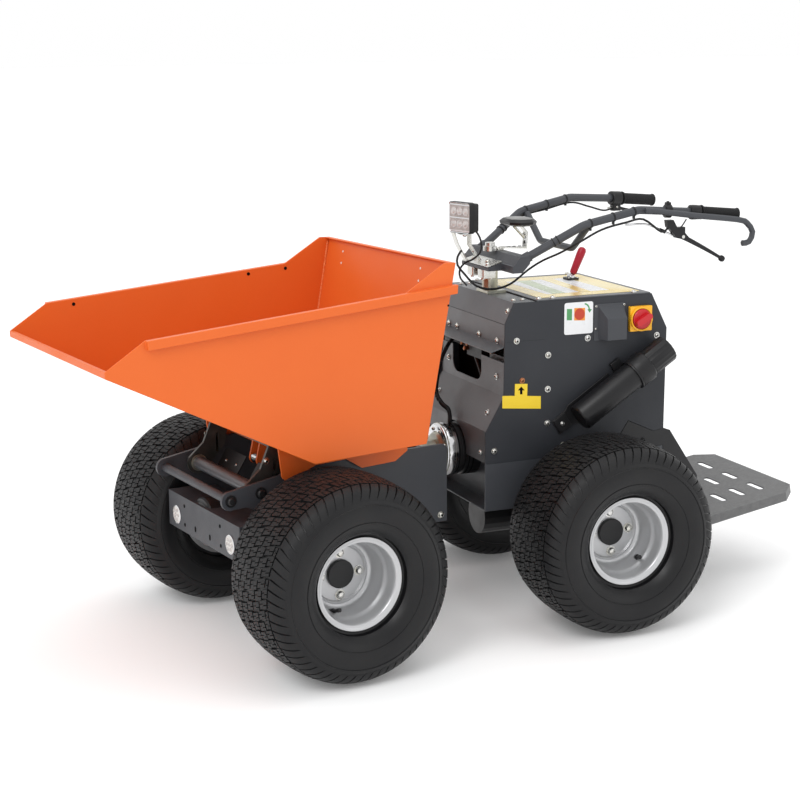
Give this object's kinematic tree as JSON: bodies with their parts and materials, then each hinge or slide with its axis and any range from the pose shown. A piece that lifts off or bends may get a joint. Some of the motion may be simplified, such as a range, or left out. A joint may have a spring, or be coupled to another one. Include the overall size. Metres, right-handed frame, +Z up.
{
  "type": "site dumper",
  "caption": "Articulated mini site dumper with a tipping skip on its front half, a handlebar, a ride-on step and wide turf tyres",
  "frame": {"origin": "centre of the bounding box at ground level, with the machine standing on its tyres and steered as pictured", "axes": "+Z up, +Y towards the step at the rear, +X to the machine's left side"},
  "size_m": [1.081, 2.0824, 1.072],
  "materials": {
    "orange": "gloss powder coat",
    "anthracite": "fine textured powder coat",
    "black_metal": "satin black paint",
    "black": "moulded black plastic",
    "tyre": "black turf tyre",
    "rubber": "black rubber",
    "silver": "silver lacquer",
    "zinc": "zinc plated",
    "chrome": "hard chrome",
    "red": "red plastic",
    "yellow": "yellow plate with a red knob",
    "grey": "grey housing"
  },
  "bodies": {
    "rear_frame": {"rear_chassis": "anthracite", "side_panel_left": "anthracite", "side_panel_right": "anthracite", "front_upper_cover": "anthracite", "front_lower_cover": "anthracite", "top_cover": "anthracite", "rear_cover": "anthracite", "battery": "grey", "step_platform": "anthracite", "step_side_plate_left": "black_metal", "step_side_plate_right": "black_metal", "document_tube": "black", "socket_cover": "anthracite", "main_switch": "yellow", "parking_lever": "red", "swing_bearing": "black_metal", "hydraulic_hose": "rubber", "handlebar_bracket": "zinc", "rear_axle": "anthracite"},
    "handlebar": {"handlebar_base": "anthracite", "handlebar_tube_left": "anthracite", "handlebar_tube_right": "anthracite", "grip_left": "rubber", "grip_right": "rubber", "handlebar_cross_tube": "anthracite", "hand_guard": "anthracite", "brake_lever": "black", "throttle_housing": "black", "console": "black", "work_light": "black", "brake_cable": "black"},
    "knuckle": {"pivot_knuckle": "zinc"},
    "front_frame": {"front_side_plate_left": "anthracite", "front_side_plate_right": "anthracite", "front_cross_member": "anthracite", "front_axle_box": "anthracite", "front_cross_tube": "anthracite", "tip_shaft": "chrome", "front_axle": "anthracite"},
    "skip": {"skip_floor": "orange", "skip_side_left": "orange", "skip_side_right": "orange", "skip_rear_wall": "orange", "skip_under_frame": "orange", "skip_hinge": "zinc"},
    "tip_barrel": {"tip_cylinder_barrel": "black_metal"},
    "tip_rod": {"tip_cylinder_rod": "chrome"},
    "steering_barrel": {"steering_cylinder_barrel": "black_metal"},
    "steering_rod": {"steering_cylinder_rod": "chrome"},
    "rear_left_wheel": {"rear_left_tyre": "tyre", "rear_left_rim": "silver"},
    "rear_right_wheel": {"rear_right_tyre": "tyre", "rear_right_rim": "silver"},
    "front_left_wheel": {"front_left_tyre": "tyre", "front_left_rim": "silver"},
    "front_right_wheel": {"front_right_tyre": "tyre", "front_right_rim": "silver"}
  },
  "joints": [
    {"name": "axle_swing", "type": "hinge", "parent": "rear_frame", "child": "knuckle", "pos_m": [-0.03854, -0.05397, 0.415], "axis": [0, 1, 0], "range_deg": [-10, 10]},
    {"name": "steering", "type": "hinge", "parent": "knuckle", "child": "front_frame", "pos_m": [-0.03854, -0.05397, 0.397], "axis": [0, 0, 1], "range_deg": [-38.19, 21.81]},
    {"name": "skip_tip", "type": "hinge", "parent": "front_frame", "child": "skip", "pos_m": [0.03554, -0.56866, 0.425], "axis": [0.9898, 0.1425, 0], "range_deg": [0, 75]},
    {"name": "tip_cylinder_swing", "type": "hinge", "parent": "front_frame", "child": "tip_barrel", "pos_m": [-0.02144, -0.17274, 0.295], "axis": [0.9898, 0.1425, 0], "range_deg": [-3.5, 1]},
    {"name": "tip_cylinder_stroke", "type": "slide", "parent": "tip_barrel", "child": "tip_rod", "axis": [0.126, -0.8754, 0.4667], "range_m": [0, 0.122]},
    {"name": "steering_cylinder_swing", "type": "hinge", "parent": "front_frame", "child": "steering_barrel", "pos_m": [-0.13512, -0.33055, 0.4], "axis": [0, 0, 1], "range_deg": [-3, 5]},
    {"name": "steering_cylinder_stroke", "type": "slide", "parent": "steering_barrel", "child": "steering_rod", "axis": [-0.0246, 0.9997, 0], "range_m": [-0.0715, 0.041]},
    {"name": "handlebar_swivel", "type": "hinge", "parent": "rear_frame", "child": "handlebar", "pos_m": [-0.03854, 0.19603, 0.897], "axis": [0, 0, 1], "range_deg": [-12, 12]},
    {"name": "rear_left_wheel_spin", "type": "hinge", "parent": "rear_frame", "child": "rear_left_wheel", "pos_m": [0.33046, 0.36503, 0.249], "axis": [1, 0, 0], "continuous": true},
    {"name": "rear_right_wheel_spin", "type": "hinge", "parent": "rear_frame", "child": "rear_right_wheel", "pos_m": [-0.40754, 0.36503, 0.249], "axis": [1, 0, 0], "continuous": true},
    {"name": "front_left_wheel_spin", "type": "hinge", "parent": "front_frame", "child": "front_left_wheel", "pos_m": [0.38354, -0.39633, 0.249], "axis": [0.9898, 0.1425, 0], "continuous": true},
    {"name": "front_right_wheel_spin", "type": "hinge", "parent": "front_frame", "child": "front_right_wheel", "pos_m": [-0.34694, -0.50146, 0.249], "axis": [0.9898, 0.1425, 0], "continuous": true}
  ],
  "couplings": [
    {"joint": "tip_cylinder_swing", "follows": "skip_tip", "ratio": -0.045},
    {"joint": "tip_cylinder_stroke", "follows": "skip_tip", "m_per_rad": 0.0912},
    {"joint": "steering_cylinder_swing", "follows": "steering", "ratio": -0.1225},
    {"joint": "steering_cylinder_stroke", "follows": "steering", "m_per_rad": 0.1064}
  ]
}
